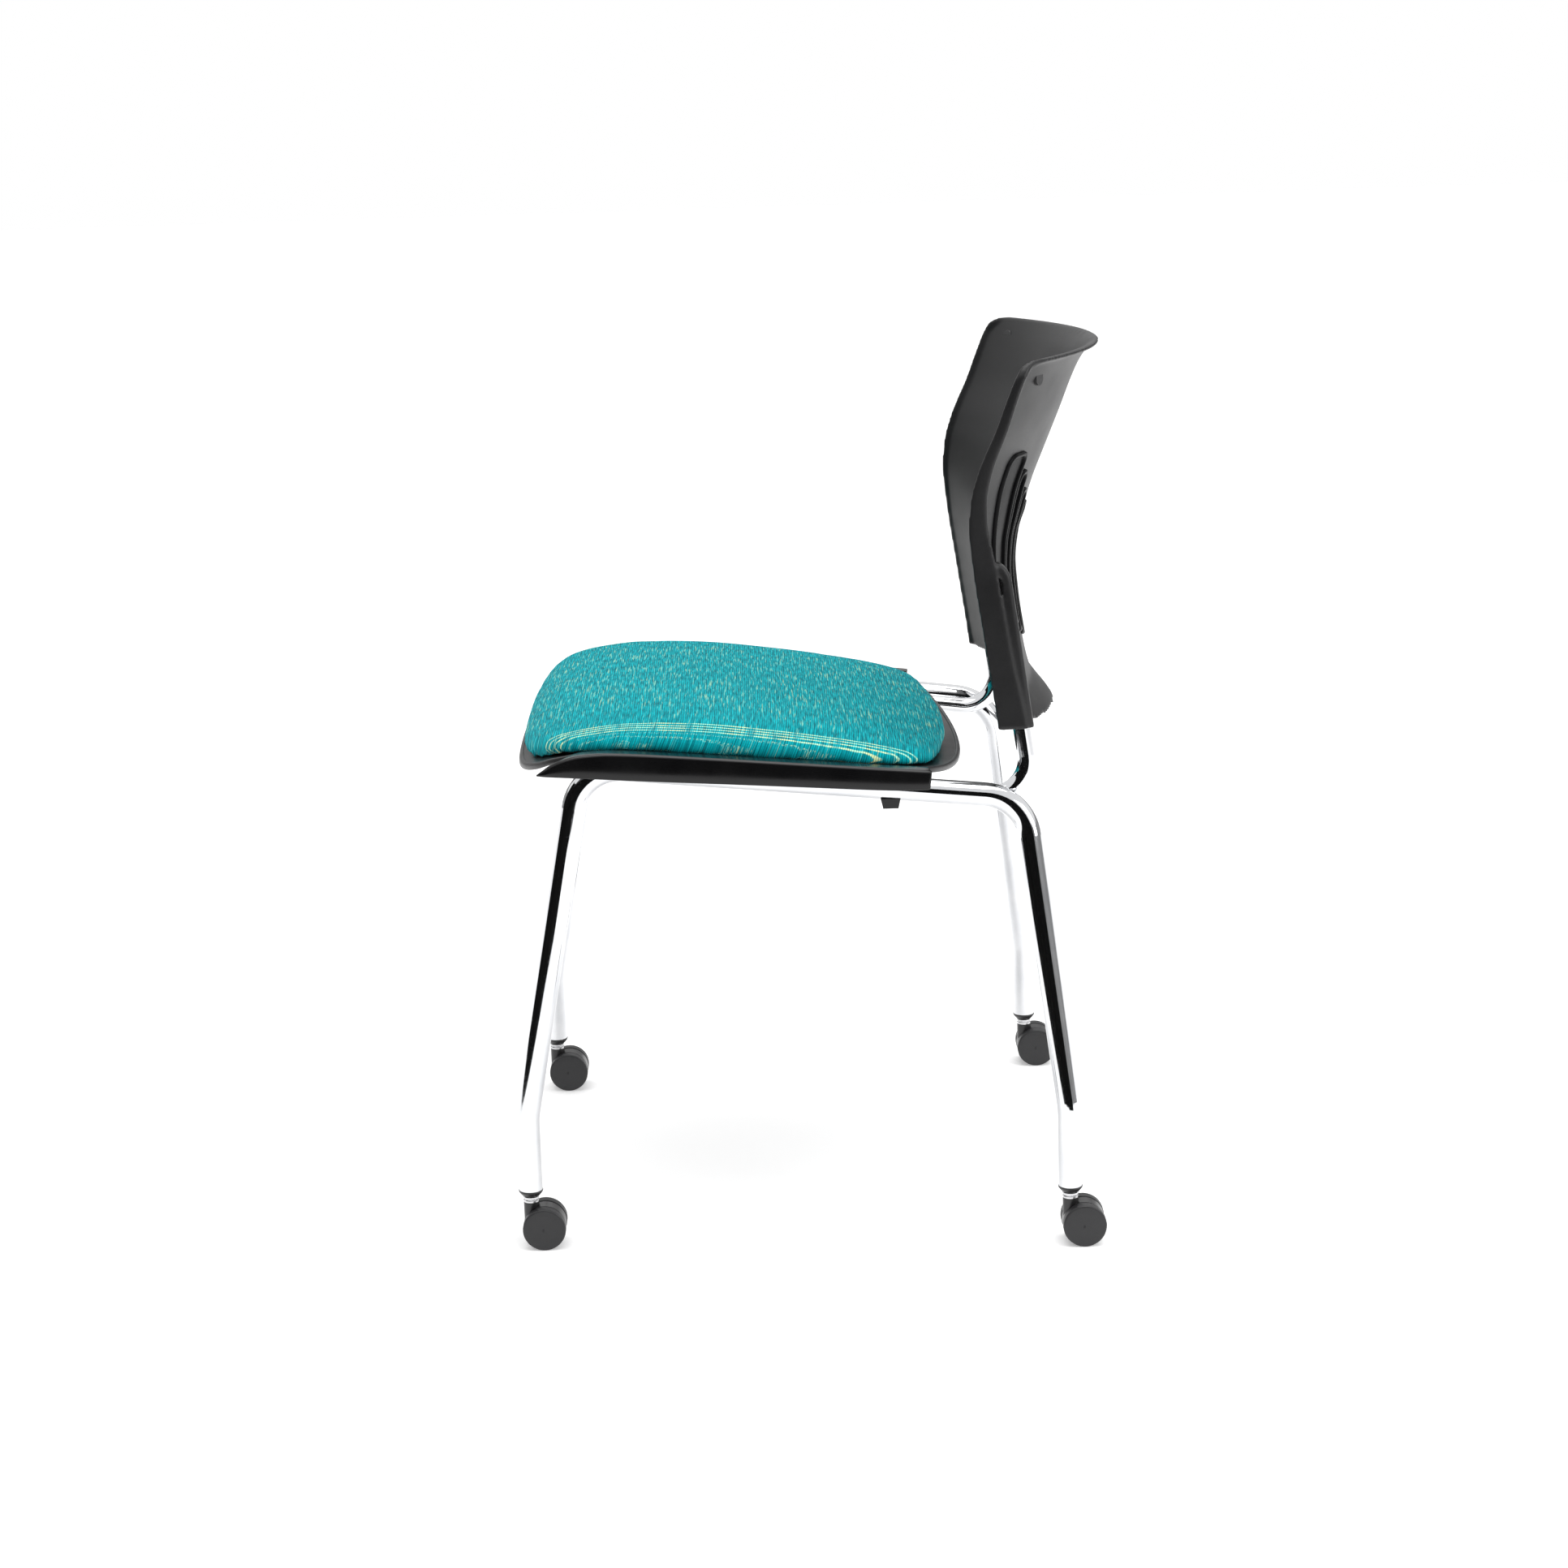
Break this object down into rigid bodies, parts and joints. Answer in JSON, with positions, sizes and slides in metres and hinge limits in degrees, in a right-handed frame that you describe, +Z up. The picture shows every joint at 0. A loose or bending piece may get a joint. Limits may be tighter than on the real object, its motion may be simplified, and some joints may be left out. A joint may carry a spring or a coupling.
{
  "type": "student desk chair",
  "caption": "Armless rolling classroom chair: chromed bent-tube side frames on small twin-wheel casters, dished seat shell with woven cushion, and a curved slotted plastic back.",
  "frame": {"origin": "on the floor, in the middle of the chair's overall box", "axes": "+Z up, front of the chair towards -Y, +X to the right side as seen from the front looking at the back"},
  "size_m": [0.5728, 0.566, 0.8059],
  "materials": {
    "chrome": "bright chrome plate on bent steel tube",
    "frame_steel": "black powder-coated pressed steel",
    "zinc": "zinc-plated screws",
    "satin_black": "satin black polypropylene with fine mould grain",
    "gloss_black": "polished black moulding",
    "board": "bare birch ply",
    "upholstery": "turquoise melange woven upholstery with pale green yarns",
    "bumper": "black moulded bumper",
    "socket_black": "black nylon insert",
    "stem_plated": "nickel-plated turned steel",
    "hood_black": "satin black nylon",
    "axle_steel": "plain steel pin",
    "wheel_black": "satin black nylon wheel"
  },
  "bodies": {
    "chair": {"left_side_frame": "chrome", "right_side_frame": "chrome", "left_back_support": "chrome", "right_back_support": "chrome", "seat_bracket_front": "frame_steel", "seat_bracket_rear": "frame_steel", "seat_screws": "zinc", "back_screws": "zinc", "seat_shell": "satin_black", "back_shell": "satin_black", "left_plug_cap": "satin_black", "right_plug_cap": "satin_black", "left_side_skirt": "gloss_black", "right_side_skirt": "gloss_black", "lumbar_grille": "gloss_black", "seat_board": "board", "seat_cushion": "upholstery", "left_stacking_bumper": "bumper", "right_stacking_bumper": "bumper", "front_left_leg_socket": "socket_black", "front_right_leg_socket": "socket_black", "rear_left_leg_socket": "socket_black", "rear_right_leg_socket": "socket_black"},
    "front_left_caster": {"front_left_caster_stem": "stem_plated", "front_left_caster_hood": "hood_black", "front_left_caster_axle": "axle_steel"},
    "front_left_left_wheel_body": {"front_left_left_wheel": "wheel_black"},
    "front_left_right_wheel_body": {"front_left_right_wheel": "wheel_black"},
    "front_right_caster": {"front_right_caster_stem": "stem_plated", "front_right_caster_hood": "hood_black", "front_right_caster_axle": "axle_steel"},
    "front_right_left_wheel_body": {"front_right_left_wheel": "wheel_black"},
    "front_right_right_wheel_body": {"front_right_right_wheel": "wheel_black"},
    "rear_left_caster": {"rear_left_caster_stem": "stem_plated", "rear_left_caster_hood": "hood_black", "rear_left_caster_axle": "axle_steel"},
    "rear_left_left_wheel_body": {"rear_left_left_wheel": "wheel_black"},
    "rear_left_right_wheel_body": {"rear_left_right_wheel": "wheel_black"},
    "rear_right_caster": {"rear_right_caster_stem": "stem_plated", "rear_right_caster_hood": "hood_black", "rear_right_caster_axle": "axle_steel"},
    "rear_right_left_wheel_body": {"rear_right_left_wheel": "wheel_black"},
    "rear_right_right_wheel_body": {"rear_right_right_wheel": "wheel_black"}
  },
  "joints": [
    {"name": "front_left_swivel", "type": "hinge", "parent": "chair", "child": "front_left_caster", "pos_m": [-0.2328, -0.2718, 0.045], "axis": [0, 0, 1], "continuous": true},
    {"name": "front_left_left_roll", "type": "hinge", "parent": "front_left_caster", "child": "front_left_left_wheel_body", "pos_m": [-0.2328, -0.26, 0.02], "axis": [1, 0, 0], "continuous": true},
    {"name": "front_left_right_roll", "type": "hinge", "parent": "front_left_caster", "child": "front_left_right_wheel_body", "pos_m": [-0.2328, -0.26, 0.02], "axis": [1, 0, 0], "continuous": true},
    {"name": "front_right_swivel", "type": "hinge", "parent": "chair", "child": "front_right_caster", "pos_m": [0.2328, -0.2718, 0.045], "axis": [0, 0, 1], "continuous": true},
    {"name": "front_right_left_roll", "type": "hinge", "parent": "front_right_caster", "child": "front_right_left_wheel_body", "pos_m": [0.2328, -0.26, 0.02], "axis": [1, 0, 0], "continuous": true},
    {"name": "front_right_right_roll", "type": "hinge", "parent": "front_right_caster", "child": "front_right_right_wheel_body", "pos_m": [0.2328, -0.26, 0.02], "axis": [1, 0, 0], "continuous": true},
    {"name": "rear_left_swivel", "type": "hinge", "parent": "chair", "child": "rear_left_caster", "pos_m": [-0.2676, 0.2268, 0.045], "axis": [0, 0, 1], "continuous": true},
    {"name": "rear_left_left_roll", "type": "hinge", "parent": "rear_left_caster", "child": "rear_left_left_wheel_body", "pos_m": [-0.2676, 0.2386, 0.02], "axis": [1, 0, 0], "continuous": true},
    {"name": "rear_left_right_roll", "type": "hinge", "parent": "rear_left_caster", "child": "rear_left_right_wheel_body", "pos_m": [-0.2676, 0.2386, 0.02], "axis": [1, 0, 0], "continuous": true},
    {"name": "rear_right_swivel", "type": "hinge", "parent": "chair", "child": "rear_right_caster", "pos_m": [0.2676, 0.2268, 0.045], "axis": [0, 0, 1], "continuous": true},
    {"name": "rear_right_left_roll", "type": "hinge", "parent": "rear_right_caster", "child": "rear_right_left_wheel_body", "pos_m": [0.2676, 0.2386, 0.02], "axis": [1, 0, 0], "continuous": true},
    {"name": "rear_right_right_roll", "type": "hinge", "parent": "rear_right_caster", "child": "rear_right_right_wheel_body", "pos_m": [0.2676, 0.2386, 0.02], "axis": [1, 0, 0], "continuous": true}
  ]
}
